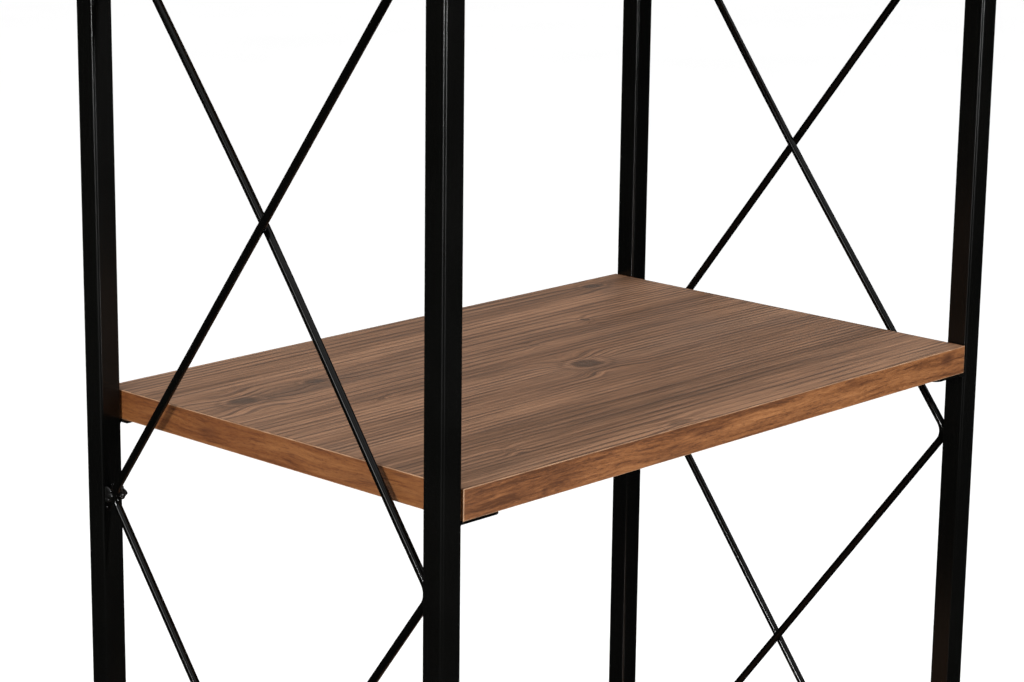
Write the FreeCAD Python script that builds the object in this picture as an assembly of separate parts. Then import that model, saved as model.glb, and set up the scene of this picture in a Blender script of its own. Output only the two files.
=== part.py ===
import FreeCAD, Part
import math
import os

# Open bookcase: two side frames of square steel tube with crossed round wires, joined by five
# boards that sit on small welded tabs. Millimetres. +X runs along the boards, -Y is the front,
# +Z is up, and the origin is on the floor under the middle of the bookcase.

# Boards
BOARD_LENGTH = 460.0
BOARD_DEPTH = 300.0
BOARD_THICKNESS = 18.0
BAND_THICKNESS = 1.0
BAND_ARRIS_RADIUS = 0.5
SHELF_COUNT = 5
LOWEST_SHELF_TOP = 100.0
SHELF_PITCH = 355.0

# Posts and their top caps
POST_SIZE = 15.0
POST_WALL = 1.2
POST_CORNER_RADIUS = 1.8
POST_INNER_CORNER_RADIUS = 0.6
BOARD_END_GAP = 1.0
CAP_BELOW_TOP_SHELF = 0.5
CAP_HEAD_THICKNESS = 2.5
CAP_HEAD_EDGE_RADIUS = 0.8
PLUG_CLEARANCE = 0.1
CAP_PLUG_LENGTH = 12.0

# Crossed wires and welds
WIRE_DIAMETER = 5.0
WIRE_CROSSING_GAP = 0.2
NODE_BELOW_SHELF_TOP = 62.0
WELD_GAP = 0.3
WELD_BEAD_HEIGHT = 2.4
WELD_BEAD_EDGE_MARGIN = 0.2
TAB_WELD_LEG = 2.0
TAB_WELD_END_MARGIN = 2.0

# Shelf tabs and their screws
TAB_LENGTH = 30.0
TAB_WIDTH = 20.0
TAB_THICKNESS = 1.5
TAB_CORNER_RADIUS = 4.0
TAB_HOLE_RADIUS = 2.25
TAB_HOLE_FROM_END = 10.0
SCREW_RADIUS = 1.9
SCREW_CLEARANCE = 0.05
SCREW_DEPTH_IN_BOARD = 12.0
SCREW_TIP_LENGTH = 2.5
PILOT_EXTRA_DEPTH = 1.0
SCREW_HEAD_RADIUS = 4.0
SCREW_HEAD_HEIGHT = 2.4
SCREW_HEAD_EDGE_RADIUS = 1.0
RECESS_LENGTH = 4.2
RECESS_WIDTH = 0.9
RECESS_DEPTH = 1.3

# Levelling feet
INSERT_HEAD_THICKNESS = 3.0
INSERT_PLUG_LENGTH = 20.0
STUD_RADIUS = 3.0
STUD_CLEARANCE = 0.05
STUD_LENGTH = 32.0
STUD_CHAMFER = 0.8
STUD_DEPTH_IN_PAD = 4.0
PAD_RADIUS = 8.0
PAD_RIM_HEIGHT = 3.0
PAD_CONE_HEIGHT = 3.0
PAD_NECK_RADIUS = 6.0
PAD_EDGE_CHAMFER = 0.6

UP = FreeCAD.Vector(0, 0, 1)
DOWN = FreeCAD.Vector(0, 0, -1)
SIDES = {"left": -1, "right": 1}
ENDS = {"front": -1, "rear": 1}

# Places that follow from the sizes above
post_x = BOARD_LENGTH / 2 + BOARD_END_GAP + POST_SIZE / 2
post_y = BOARD_DEPTH / 2 - POST_SIZE / 2
post_face_x = post_x - POST_SIZE / 2
post_face_y = post_y - POST_SIZE / 2
post_bottom = PAD_RIM_HEIGHT + PAD_CONE_HEIGHT + INSERT_HEAD_THICKNESS
top_shelf_top = LOWEST_SHELF_TOP + (SHELF_COUNT - 1) * SHELF_PITCH
post_top = top_shelf_top - CAP_BELOW_TOP_SHELF - CAP_HEAD_THICKNESS
plug_size = POST_SIZE - 2 * POST_WALL - 2 * PLUG_CLEARANCE
wire_offset = WIRE_DIAMETER / 2 + WIRE_CROSSING_GAP / 2
tab_screw_x = post_face_x - TAB_LENGTH + TAB_HOLE_FROM_END
tab_screw_y = BOARD_DEPTH / 2 - TAB_WIDTH / 2


def shelf_top(level):
    """Height of a board's upper face; level 0 is the lowest board."""
    return LOWEST_SHELF_TOP + level * SHELF_PITCH


def board_underside(level):
    return shelf_top(level) - BOARD_THICKNESS


def node_height(level):
    """Height at which the crossed wires meet the posts below a board."""
    return shelf_top(level) - NODE_BELOW_SHELF_TOP


def met_end(first_end, level):
    """Front or rear post that a wire meets at a node, as a sign of Y: it changes at each level."""
    return first_end if level % 2 == 0 else -first_end


def all_corners():
    """Signs of X and Y at the four posts."""
    return [(side, end) for side in SIDES.values() for end in ENDS.values()]


def centred_box(size_x, size_y, bottom, height, x=0.0, y=0.0):
    corner = FreeCAD.Vector(x - size_x / 2, y - size_y / 2, bottom)
    return Part.makeBox(size_x, size_y, height, corner)


def upright_edges(shape, height):
    """Edges that run straight up for the whole of a height."""
    edges = []
    for edge in shape.Edges:
        rise = abs(edge.Vertexes[0].Z - edge.Vertexes[-1].Z)
        if math.isclose(rise, height) and math.isclose(edge.Length, height):
            edges.append(edge)
    return edges


def rounded_bar(size, bottom, height, corner_radius):
    bar = centred_box(size, size, bottom, height)
    return bar.makeFillet(corner_radius, upright_edges(bar, height))


def edges_at_height(shape, height):
    """Edges that lie wholly at one height."""
    return [edge for edge in shape.Edges if all(math.isclose(v.Z, height) for v in edge.Vertexes)]


def moved(shape, x, y):
    return shape.translated(FreeCAD.Vector(x, y, 0))


def at_every_post(shape):
    """One copy of a shape, drawn about the Z axis, at each of the four posts."""
    return [moved(shape, side * post_x, end * post_y) for side, end in all_corners()]


def make_post():
    """Square tube, open at both ends."""
    height = post_top - post_bottom
    outside = rounded_bar(POST_SIZE, post_bottom, height, POST_CORNER_RADIUS)
    hollow = rounded_bar(POST_SIZE - 2 * POST_WALL, post_bottom, height, POST_INNER_CORNER_RADIUS)
    return outside.cut(hollow)


def make_post_cap():
    """Plastic cap: a flat head on the tube's end and a plug inside it."""
    head = rounded_bar(POST_SIZE, post_top, CAP_HEAD_THICKNESS, POST_CORNER_RADIUS)
    head_edges = edges_at_height(head, post_top + CAP_HEAD_THICKNESS)
    head = head.makeFillet(CAP_HEAD_EDGE_RADIUS, head_edges)
    plug = rounded_bar(plug_size, post_top - CAP_PLUG_LENGTH, CAP_PLUG_LENGTH, POST_INNER_CORNER_RADIUS)
    return head.fuse(plug).removeSplitter()


def make_foot_insert():
    """Plastic plug in the tube's lower end, with the bore that the foot's stud screws into."""
    head_bottom = post_bottom - INSERT_HEAD_THICKNESS
    head = rounded_bar(POST_SIZE, head_bottom, INSERT_HEAD_THICKNESS, POST_CORNER_RADIUS)
    plug = rounded_bar(plug_size, post_bottom, INSERT_PLUG_LENGTH, POST_INNER_CORNER_RADIUS)
    bore_length = INSERT_HEAD_THICKNESS + INSERT_PLUG_LENGTH
    bore = Part.makeCylinder(STUD_RADIUS + STUD_CLEARANCE, bore_length, FreeCAD.Vector(0, 0, head_bottom))
    return head.fuse(plug).removeSplitter().cut(bore)


def make_foot_stud():
    """Steel stud, moulded into the pad at its lower end."""
    bottom = PAD_RIM_HEIGHT + PAD_CONE_HEIGHT - STUD_DEPTH_IN_PAD
    stud = Part.makeCylinder(STUD_RADIUS, STUD_LENGTH, FreeCAD.Vector(0, 0, bottom))
    return stud.makeChamfer(STUD_CHAMFER, edges_at_height(stud, bottom + STUD_LENGTH))


def make_foot_pad(stud):
    """Round plastic base that stands on the floor and narrows to a neck."""
    rim = Part.makeCylinder(PAD_RADIUS, PAD_RIM_HEIGHT)
    rim = rim.makeChamfer(PAD_EDGE_CHAMFER, edges_at_height(rim, 0.0))
    cone = Part.makeCone(PAD_RADIUS, PAD_NECK_RADIUS, PAD_CONE_HEIGHT, FreeCAD.Vector(0, 0, PAD_RIM_HEIGHT))
    return rim.fuse(cone).cut(stud)


def bent_wire(first_end):
    """Round wire bent to and fro between the posts, from the lowest node to the highest.

    Its straight legs aim at the posts' inner faces, and each bend is as wide as it must be
    for its outside to stop WELD_GAP short of the face.
    """
    leg_angle = math.atan2(SHELF_PITCH, 2 * post_face_y)
    apex_depth = WIRE_DIAMETER / 2 + WELD_GAP
    bend_radius = apex_depth / (1 / math.sin(leg_angle) - 1)
    tangent_length = bend_radius / math.tan(leg_angle)

    turns = []
    for level in range(SHELF_COUNT):
        turns.append(FreeCAD.Vector(0, met_end(first_end, level) * post_face_y, node_height(level)))

    run_out = WIRE_DIAMETER
    first_leg = (turns[1] - turns[0]).normalize()
    last_leg = (turns[-1] - turns[-2]).normalize()
    path_start = turns[0] - first_leg * run_out
    start = path_start
    path = []
    for before, turn, after in zip(turns, turns[1:], turns[2:]):
        bend_start = turn + (before - turn).normalize() * tangent_length
        bend_end = turn + (after - turn).normalize() * tangent_length
        inward = -math.copysign(apex_depth, turn.y)
        bend_middle = turn + FreeCAD.Vector(0, inward, 0)
        path.append(Part.makeLine(start, bend_start))
        path.append(Part.Arc(bend_start, bend_middle, bend_end).toShape())
        start = bend_end
    path.append(Part.makeLine(start, turns[-1] + last_leg * run_out))

    section = Part.Wire(Part.makeCircle(WIRE_DIAMETER / 2, path_start, first_leg))
    swept = Part.Wire(path).makePipeShell([section], True, False)
    between_posts = centred_box(POST_SIZE, 2 * post_face_y, 0.0, top_shelf_top)
    return swept.common(between_posts).Solids[0]


def weld_bead(end, level, wire):
    """Low, round-ended run of weld on a post's inner face, around the wire that meets it.

    Its straight stretch is as long as the wire is thick, so that it reaches past the wire's
    slanting end.
    """
    base_radius = POST_SIZE / 2 - wire_offset - WELD_BEAD_EDGE_MARGIN
    ball_radius = (base_radius ** 2 + WELD_BEAD_HEIGHT ** 2) / (2 * WELD_BEAD_HEIGHT)
    depth_of_centre = ball_radius - WELD_BEAD_HEIGHT
    bottom = node_height(level) - WIRE_DIAMETER / 2
    lower_centre = FreeCAD.Vector(0, end * (post_face_y + depth_of_centre), bottom)
    upper_centre = lower_centre + UP * WIRE_DIAMETER
    run = Part.makeCylinder(ball_radius, WIRE_DIAMETER, lower_centre)
    run = run.fuse(Part.makeSphere(ball_radius, lower_centre))
    run = run.fuse(Part.makeSphere(ball_radius, upper_centre))
    clear_of_post = centred_box(2 * ball_radius, 2 * post_face_y, 0.0, top_shelf_top)
    return run.common(clear_of_post).cut(wire).removeSplitter().Solids


def tab_weld(side, end, level):
    """Three-cornered run of weld in the angle under a tab, against the post."""
    corner_x = side * post_face_x
    top = board_underside(level) - TAB_THICKNESS
    near_y = end * (post_face_y + TAB_WELD_END_MARGIN)
    run_length = POST_SIZE - 2 * TAB_WELD_END_MARGIN
    points = [
        FreeCAD.Vector(corner_x, near_y, top),
        FreeCAD.Vector(corner_x - side * TAB_WELD_LEG, near_y, top),
        FreeCAD.Vector(corner_x, near_y, top - TAB_WELD_LEG),
    ]
    face = Part.Face(Part.makePolygon(points + points[:1]))
    return face.extrude(FreeCAD.Vector(0, end * run_length, 0))


def screw_places():
    """X and Y of the screws in a board's four corners."""
    return [(side * tab_screw_x, end * tab_screw_y) for side, end in all_corners()]


def make_board(level):
    """Chipboard core with a blind pilot hole above each tab."""
    core = centred_box(BOARD_LENGTH - 2 * BAND_THICKNESS, BOARD_DEPTH - 2 * BAND_THICKNESS,
                       board_underside(level), BOARD_THICKNESS)
    depth = SCREW_DEPTH_IN_BOARD + PILOT_EXTRA_DEPTH
    for x, y in screw_places():
        mouth = FreeCAD.Vector(x, y, board_underside(level))
        core = core.cut(Part.makeCylinder(SCREW_RADIUS + SCREW_CLEARANCE, depth, mouth))
    return core


def make_edge_bands(level):
    """Strips on the board's four edges; the long ones lap over the short ones."""
    bottom = board_underside(level)
    outline = centred_box(BOARD_LENGTH, BOARD_DEPTH, bottom, BOARD_THICKNESS)
    outline = outline.makeFillet(BAND_ARRIS_RADIUS, outline.Edges)
    long_y = BOARD_DEPTH / 2 - BAND_THICKNESS / 2
    short_x = BOARD_LENGTH / 2 - BAND_THICKNESS / 2
    short_length = BOARD_DEPTH - 2 * BAND_THICKNESS
    bands = []
    for sign in (-1, 1):
        long_slab = centred_box(BOARD_LENGTH, BAND_THICKNESS, bottom, BOARD_THICKNESS, y=sign * long_y)
        short_slab = centred_box(BAND_THICKNESS, short_length, bottom, BOARD_THICKNESS, x=sign * short_x)
        bands += [outline.common(long_slab), outline.common(short_slab)]
    return bands


def make_tab(side, end, level):
    """Flat plate welded to a post's inner face, level with the board's underside."""
    centre_x = side * (post_face_x - TAB_LENGTH / 2)
    centre_y = end * (BOARD_DEPTH / 2 - TAB_WIDTH / 2)
    bottom = board_underside(level) - TAB_THICKNESS
    plate = centred_box(TAB_LENGTH, TAB_WIDTH, bottom, TAB_THICKNESS, centre_x, centre_y)
    free_corners = [edge for edge in upright_edges(plate, TAB_THICKNESS)
                    if abs(edge.Vertexes[0].X) < post_face_x - TAB_LENGTH / 2]
    plate = plate.makeFillet(TAB_CORNER_RADIUS, free_corners)
    mouth = FreeCAD.Vector(side * tab_screw_x, end * tab_screw_y, bottom)
    return plate.cut(Part.makeCylinder(TAB_HOLE_RADIUS, TAB_THICKNESS, mouth))


def make_screw(x, y, level):
    """Pan-head wood screw, driven up through a tab into the board."""
    under_tab = board_underside(level) - TAB_THICKNESS
    seat = FreeCAD.Vector(x, y, under_tab)
    head = Part.makeCylinder(SCREW_HEAD_RADIUS, SCREW_HEAD_HEIGHT, seat, DOWN)
    head_bottom = under_tab - SCREW_HEAD_HEIGHT
    head = head.makeFillet(SCREW_HEAD_EDGE_RADIUS, edges_at_height(head, head_bottom))
    straight_length = TAB_THICKNESS + SCREW_DEPTH_IN_BOARD - SCREW_TIP_LENGTH
    shank = Part.makeCylinder(SCREW_RADIUS, straight_length, seat)
    tip_base = seat + UP * straight_length
    tip = Part.makeCone(SCREW_RADIUS, 0, SCREW_TIP_LENGTH, tip_base)
    screw = head.fuse(shank).fuse(tip)
    recess_bars = [
        centred_box(RECESS_LENGTH, RECESS_WIDTH, head_bottom, RECESS_DEPTH, x, y),
        centred_box(RECESS_WIDTH, RECESS_LENGTH, head_bottom, RECESS_DEPTH, x, y),
    ]
    return screw.cut(recess_bars[0]).cut(recess_bars[1])


def save(node, solids):
    """Write one node; a node of several pieces is a group of separate solids."""
    shape = solids[0] if len(solids) == 1 else Part.makeCompound(solids)
    shape.exportStep("parts/" + node + ".step")


def save_posts():
    post = make_post()
    for side_name, side in SIDES.items():
        for end_name, end in ENDS.items():
            save("post_%s_%s" % (end_name, side_name), [moved(post, side * post_x, end * post_y)])
    save("post_caps", at_every_post(make_post_cap()))


def save_feet():
    save("foot_inserts", at_every_post(make_foot_insert()))
    stud = make_foot_stud()
    pad = make_foot_pad(stud)
    for side_name, side in SIDES.items():
        for end_name, end in ENDS.items():
            foot = "foot_%s_%s" % (end_name, side_name)
            save(foot + "_stud", [moved(stud, side * post_x, end * post_y)])
            save(foot + "_pad", [moved(pad, side * post_x, end * post_y)])


def save_wires_and_welds():
    """The left frame's outer wire starts at the rear, and so does the right frame's."""
    for side_name, side in SIDES.items():
        welds = []
        for wire_name, across, first_end in (("outer", side, 1), ("inner", -side, -1)):
            wire = bent_wire(first_end)
            x = side * post_x + across * wire_offset
            save("brace_wire_%s_%s" % (side_name, wire_name), [moved(wire, x, 0)])
            for level in range(SHELF_COUNT):
                beads = weld_bead(met_end(first_end, level), level, wire)
                welds += [moved(bead, x, 0) for bead in beads]
        for level in range(SHELF_COUNT):
            welds += [tab_weld(side, end, level) for end in ENDS.values()]
        save("welds_" + side_name, welds)


def save_shelves():
    for level in range(SHELF_COUNT):
        shelf = "shelf_%d" % (level + 1)
        save(shelf + "_board", [make_board(level)])
        save(shelf + "_edge_bands", make_edge_bands(level))
        save(shelf + "_tabs", [make_tab(side, end, level) for side, end in all_corners()])
        save(shelf + "_screws", [make_screw(x, y, level) for x, y in screw_places()])


os.makedirs("parts", exist_ok=True)
save_posts()
save_feet()
save_wires_and_welds()
save_shelves()
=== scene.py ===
import math

import bmesh
import bpy
from bpy.props import FloatProperty, FloatVectorProperty, IntProperty, PointerProperty
from mathutils import Matrix, Vector


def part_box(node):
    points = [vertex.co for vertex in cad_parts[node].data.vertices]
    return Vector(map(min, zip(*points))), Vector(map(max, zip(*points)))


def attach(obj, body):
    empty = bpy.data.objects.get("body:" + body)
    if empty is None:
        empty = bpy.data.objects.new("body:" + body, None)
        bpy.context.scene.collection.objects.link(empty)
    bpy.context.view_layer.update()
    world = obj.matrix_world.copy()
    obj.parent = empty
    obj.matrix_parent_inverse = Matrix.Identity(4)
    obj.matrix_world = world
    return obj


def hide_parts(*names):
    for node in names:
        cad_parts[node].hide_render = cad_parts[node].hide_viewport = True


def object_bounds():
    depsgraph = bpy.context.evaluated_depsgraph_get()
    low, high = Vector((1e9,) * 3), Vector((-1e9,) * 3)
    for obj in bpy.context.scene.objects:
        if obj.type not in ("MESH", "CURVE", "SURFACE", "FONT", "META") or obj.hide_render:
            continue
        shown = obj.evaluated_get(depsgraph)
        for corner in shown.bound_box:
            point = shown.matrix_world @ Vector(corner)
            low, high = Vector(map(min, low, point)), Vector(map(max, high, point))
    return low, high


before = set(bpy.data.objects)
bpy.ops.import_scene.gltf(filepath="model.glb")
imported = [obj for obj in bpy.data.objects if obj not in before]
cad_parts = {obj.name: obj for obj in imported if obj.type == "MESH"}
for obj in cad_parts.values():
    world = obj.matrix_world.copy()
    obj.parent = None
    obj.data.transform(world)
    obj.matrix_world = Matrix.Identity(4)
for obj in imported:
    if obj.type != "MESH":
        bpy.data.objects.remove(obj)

bl_info = {
    "name": "Open bookcase",
    "version": (1, 0, 0),
    "blender": (4, 5, 0),
    "location": "3D View > Sidebar > Bookcase",
    "description": "Looks of an open bookcase: steel side frames, wood-look boards, caps and feet",
    "category": "Object",
}

CAD_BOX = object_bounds()
CORNERS = [(end, side) for side in ("left", "right") for end in ("front", "rear")]
SHELVES = [name.removesuffix("_board") for name in sorted(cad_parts) if name.endswith("_board")]
MIDDLE_SHELF = SHELVES[len(SHELVES) // 2]
MAIN_BODY = "bookcase"
TOLERANCE = 1e-6


# ---------------------------------------------------------------- working with the editor

def deselect_all():
    if bpy.context.mode != "OBJECT":
        bpy.ops.object.mode_set(mode="OBJECT")
    bpy.ops.object.select_all(action="DESELECT")


def activate(*pieces):
    deselect_all()
    for piece in pieces:
        piece.select_set(True)
    bpy.context.view_layer.objects.active = pieces[0]


def start_editing(piece):
    activate(piece)
    bpy.ops.object.mode_set(mode="EDIT")
    bpy.ops.mesh.select_all(action="DESELECT")


def stop_editing():
    bpy.ops.object.mode_set(mode="OBJECT")


def select_all():
    bpy.ops.mesh.select_all(action="SELECT")


def face_outwards():
    select_all()
    bpy.ops.mesh.normals_make_consistent(inside=False)


def extrude(move):
    bpy.ops.mesh.extrude_region_move(TRANSFORM_OT_translate={"value": move})


def extrude_in_steps(move, steps):
    for _ in range(steps):
        extrude(move / steps)


def raise_ring(middle, rise, scale):
    """Extrudes the selected face upwards and scales it about its upright axis."""
    extrude((0, 0, rise))
    scale_ring(middle, scale)


def scale_ring(middle, scale):
    bpy.ops.transform.resize(value=(scale, scale, 1.0), center_override=(middle.x, middle.y, 0.0))


def pick_faces(piece, wanted):
    """In edit mode, selects the faces that a test on centre and normal accepts."""
    bpy.ops.mesh.select_mode(type="FACE")
    mesh = bmesh.from_edit_mesh(piece.data)
    for face in mesh.faces:
        face.select_set(wanted(face.calc_center_median(), face.normal))
    bmesh.update_edit_mesh(piece.data)


def pick_edges(piece, wanted):
    """In edit mode, selects the edges that a test on their two ends accepts."""
    bpy.ops.mesh.select_mode(type="EDGE")
    mesh = bmesh.from_edit_mesh(piece.data)
    for edge in mesh.edges:
        edge.select_set(wanted(edge.verts[0].co, edge.verts[1].co))
    bmesh.update_edit_mesh(piece.data)


def is_upright(one, other):
    return abs(one.x - other.x) < TOLERANCE and abs(one.y - other.y) < TOLERANCE


def apply_modifier(piece, kind, **settings):
    activate(piece)
    modifier = piece.modifiers.new(kind.lower(), kind)
    for name, value in settings.items():
        setattr(modifier, name, value)
    bpy.ops.object.modifier_apply(modifier=modifier.name)


def add_start(name, primitive, **settings):
    """Adds a primitive, as the start of a piece, with nothing else selected."""
    deselect_all()
    primitive(**settings)
    piece = bpy.context.object
    piece.name = name
    return piece


def add_block(name, low, high):
    """A block between two corners."""
    size = Vector(high) - Vector(low)
    centre = (Vector(high) + Vector(low)) / 2
    piece = add_start(name, bpy.ops.mesh.primitive_cube_add, size=1, location=centre, scale=size)
    settle(piece)
    return piece


def settle(piece):
    """Puts a piece's place into its mesh."""
    activate(piece)
    bpy.ops.object.transform_apply(location=True, rotation=True, scale=True)


def copy_piece(piece, name, move):
    """A copy with its own mesh, moved in edit mode."""
    activate(piece)
    bpy.ops.object.duplicate(linked=False)
    copy = bpy.context.object
    copy.name = name
    start_editing(copy)
    select_all()
    bpy.ops.transform.translate(value=move)
    stop_editing()
    return copy


def mirror(piece, flip_x, flip_y):
    """Turns a piece into its mirror image across X, Y or both."""
    start_editing(piece)
    select_all()
    bpy.ops.transform.mirror(constraint_axis=(flip_x, flip_y, False), center_override=(0.0, 0.0, 0.0))
    face_outwards()
    stop_editing()


def join(name, pieces):
    activate(*pieces)
    bpy.ops.object.join()
    joined = bpy.context.object
    joined.name = name
    settle(joined)
    return joined


def cut_with(piece, cutter, operation="DIFFERENCE"):
    apply_modifier(piece, "BOOLEAN", object=cutter, operation=operation, solver="EXACT")
    deselect_all()
    bpy.data.objects.remove(cutter)


def shade(piece, angle=40.0, weighted=True):
    """Smooth shading that keeps flat faces flat."""
    activate(piece)
    bpy.ops.object.shade_smooth_by_angle(angle=math.radians(angle))
    if weighted:
        apply_modifier(piece, "WEIGHTED_NORMAL", keep_sharp=True, weight=100)


def hand_over(piece, body, slot, materials, *nodes):
    """Gives a finished piece its materials and its body, and hides the CAD nodes that it stands for."""
    piece.data.materials.clear()
    for material in materials:
        piece.data.materials.append(material)
    piece.data.name = piece.name
    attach(piece, body)
    if nodes:
        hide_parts(*nodes)


# ---------------------------------------------------------------- working with shader nodes

class Value:
    """A number that changes over a surface; arithmetic on it adds Math nodes."""

    def __init__(self, paint, socket):
        self.paint = paint
        self.socket = socket

    def math(self, operation, *others):
        inputs = dict(enumerate((self,) + others))
        made = self.paint.node("ShaderNodeMath", {"operation": operation}, inputs)
        return Value(self.paint, made.outputs[0])

    def __add__(self, other):
        return self.math("ADD", other)

    __radd__ = __add__

    def __sub__(self, other):
        return self.math("SUBTRACT", other)

    def __rsub__(self, other):
        return (self * -1.0) + other

    def __mul__(self, other):
        return self.math("MULTIPLY", other)

    __rmul__ = __mul__

    def __truediv__(self, other):
        return self.math("DIVIDE", other)

    def __pow__(self, other):
        return self.math("POWER", other)

    def sine(self):
        return self.math("SINE")

    def step(self, low, high):
        """0 below low, 1 above high, smooth between; low may be the larger."""
        settings = {"interpolation_type": "SMOOTHSTEP", "clamp": True}
        inputs = {"Value": self, "From Min": low, "From Max": high, "To Min": 0.0, "To Max": 1.0}
        if low > high:
            inputs.update({"From Min": high, "From Max": low, "To Min": 1.0, "To Max": 0.0})
        return Value(self.paint, self.paint.node("ShaderNodeMapRange", settings, inputs).outputs[0])


class Paint:
    """The nodes of a new material, or of a new world."""

    def __init__(self, name, owners=None):
        owners = bpy.data.materials if owners is None else owners
        self.owner = owners.new(name)
        self.owner.use_nodes = True
        self.tree = self.owner.node_tree
        self.tree.nodes.clear()
        self.coordinates = self.node("ShaderNodeTexCoord")

    def node(self, kind, settings=None, inputs=None):
        made = self.tree.nodes.new(kind)
        for name, value in (settings or {}).items():
            if name == "stops":
                self.set_stops(made.color_ramp, value)
            else:
                setattr(made, name, value)
        for place, value in (inputs or {}).items():
            socket = made.inputs[place]
            if isinstance(value, Value):
                value = value.socket
            if isinstance(value, bpy.types.NodeSocket):
                self.tree.links.new(value, socket)
            else:
                socket.default_value = value
        return made

    @staticmethod
    def set_stops(ramp, stops):
        while len(ramp.elements) < len(stops):
            ramp.elements.new(1.0)
        for element, (position, colour) in zip(ramp.elements, stops):
            element.position = position
            element.color = (*colour, 1.0)

    def place(self, turn=0.0):
        """Object coordinates in metres, turned about Z."""
        inputs = {"Vector": self.coordinates.outputs["Object"], "Rotation": (0.0, 0.0, turn)}
        settings = {"vector_type": "POINT", "name": "placement"}
        return self.node("ShaderNodeMapping", settings, inputs).outputs[0]

    def axes(self, vector):
        parts = self.node("ShaderNodeSeparateXYZ", inputs={0: vector}).outputs
        return [Value(self, part) for part in parts]

    def vector(self, x, y, z):
        return self.node("ShaderNodeCombineXYZ", inputs={0: x, 1: y, 2: z}).outputs[0]

    def noise(self, vector, stretch, detail=2.0, roughness=0.5):
        """Noise with its own number of features per metre along each axis."""
        scaled = self.node("ShaderNodeVectorMath", {"operation": "MULTIPLY"}, {0: vector, 1: stretch})
        inputs = {"Vector": scaled.outputs[0], "Scale": 1.0, "Detail": detail, "Roughness": roughness}
        made = self.node("ShaderNodeTexNoise", {"noise_dimensions": "3D"}, inputs)
        return Value(self, made.outputs["Fac"])

    def ramp(self, value, stops):
        return self.node("ShaderNodeValToRGB", {"stops": stops}, {"Fac": value}).outputs["Color"]

    def mix(self, amount, first, second):
        """Goes from a first colour, which is a link, to a second of three numbers."""
        settings = {"data_type": "RGBA", "blend_type": "MIX", "clamp_factor": True}
        made = self.node("ShaderNodeMix", settings, {"Factor": amount, 6: first, 7: (*second, 1.0)})
        return made.outputs[2]

    def bump(self, height, distance):
        inputs = {"Height": height, "Distance": distance, "Strength": 1.0}
        return self.node("ShaderNodeBump", inputs=inputs).outputs[0]

    def finish(self, **inputs):
        """The surface shader; names are its sockets, with _ for a space."""
        named = {name.replace("_", " "): value for name, value in inputs.items()}
        surface = self.node("ShaderNodeBsdfPrincipled", inputs=named)
        self.node("ShaderNodeOutputMaterial", inputs={"Surface": surface.outputs[0]})
        return self.owner


# ---------------------------------------------------------------- finishes

def powder_coat(name, roughness, unevenness, shine):
    """Black powder coat with a faint orange-peel surface."""
    paint = Paint(name)
    place = paint.place()
    peel = paint.noise(place, (900.0, 900.0, 900.0))
    cloud = paint.noise(place, (14.0, 14.0, 14.0), detail=3.0)
    colour = paint.ramp(cloud, [(0.3, (0.0005, 0.0005, 0.0004)), (0.7, (0.0010, 0.0010, 0.0008))])
    return paint.finish(Base_Color=colour, Roughness=roughness + (cloud - 0.5) * unevenness,
                        Normal=paint.bump(peel, 0.000010), Specular_IOR_Level=shine)


def weld_finish():
    """The same coat over rough weld metal."""
    paint = Paint("coated_weld")
    place = paint.place()
    lumps = paint.noise(place, (1500.0, 1500.0, 1500.0), detail=3.0)
    roughness = 0.2 + lumps * 0.2
    colour = paint.ramp(lumps, [(0.3, (0.0012, 0.0012, 0.0010)), (0.7, (0.0022, 0.0022, 0.0018))])
    return paint.finish(Base_Color=colour, Roughness=roughness, Normal=paint.bump(lumps, 0.00012),
                        Specular_IOR_Level=0.4)


def moulded_plastic():
    """Black moulded plastic with fine spark grain."""
    paint = Paint("moulded_plastic")
    place = paint.place()
    grain = paint.noise(place, (1800.0, 1800.0, 1800.0))
    cloud = paint.noise(place, (60.0, 60.0, 60.0))
    colour = paint.ramp(cloud, [(0.3, (0.006, 0.006, 0.006)), (0.7, (0.011, 0.011, 0.011))])
    return paint.finish(Base_Color=colour, Roughness=0.42 + cloud * 0.15,
                        Normal=paint.bump(grain, 0.00005), Specular_IOR_Level=0.35)


def zinc_plate():
    """Bright zinc plating with a little unevenness."""
    paint = Paint("zinc_plate")
    place = paint.place()
    cloud = paint.noise(place, (350.0, 350.0, 350.0), detail=3.0)
    colour = paint.ramp(cloud, [(0.3, (0.52, 0.52, 0.50)), (0.7, (0.72, 0.72, 0.69))])
    return paint.finish(Base_Color=colour, Metallic=1.0, Roughness=0.22 + cloud * 0.2,
                        Normal=paint.bump(cloud, 0.00003))


# Along, across, half length, half width and darkness of each mark, on the middle board
TOP_KNOTS = [
    (-0.194, 0.066, 0.011, 0.008, 0.75),
    (-0.132, 0.072, 0.009, 0.005, 0.7),
    (0.019, -0.013, 0.013, 0.009, 0.8),
    (0.107, 0.068, 0.004, 0.004, 0.8),
    (0.030, 0.042, 0.005, 0.003, 0.35),
    (0.187, 0.134, 0.010, 0.006, 0.75),
    (-0.133, 0.014, 0.005, 0.002, 0.6),
    (-0.157, -0.115, 0.004, 0.003, 0.35),
    (-0.045, -0.143, 0.012, 0.004, 0.5),
]
TOP_SHADES = [
    (-0.150, 0.066, 0.085, 0.022, 0.55),
    (0.150, -0.008, 0.055, 0.024, 0.55),
    (0.206, -0.016, 0.020, 0.014, 0.35),
    (0.185, 0.112, 0.024, 0.022, 0.45),
    (0.060, -0.015, 0.050, 0.012, 0.35),
    (0.060, 0.060, 0.035, 0.006, 0.3),
    (-0.010, -0.104, 0.120, 0.012, 0.35),
]
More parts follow.
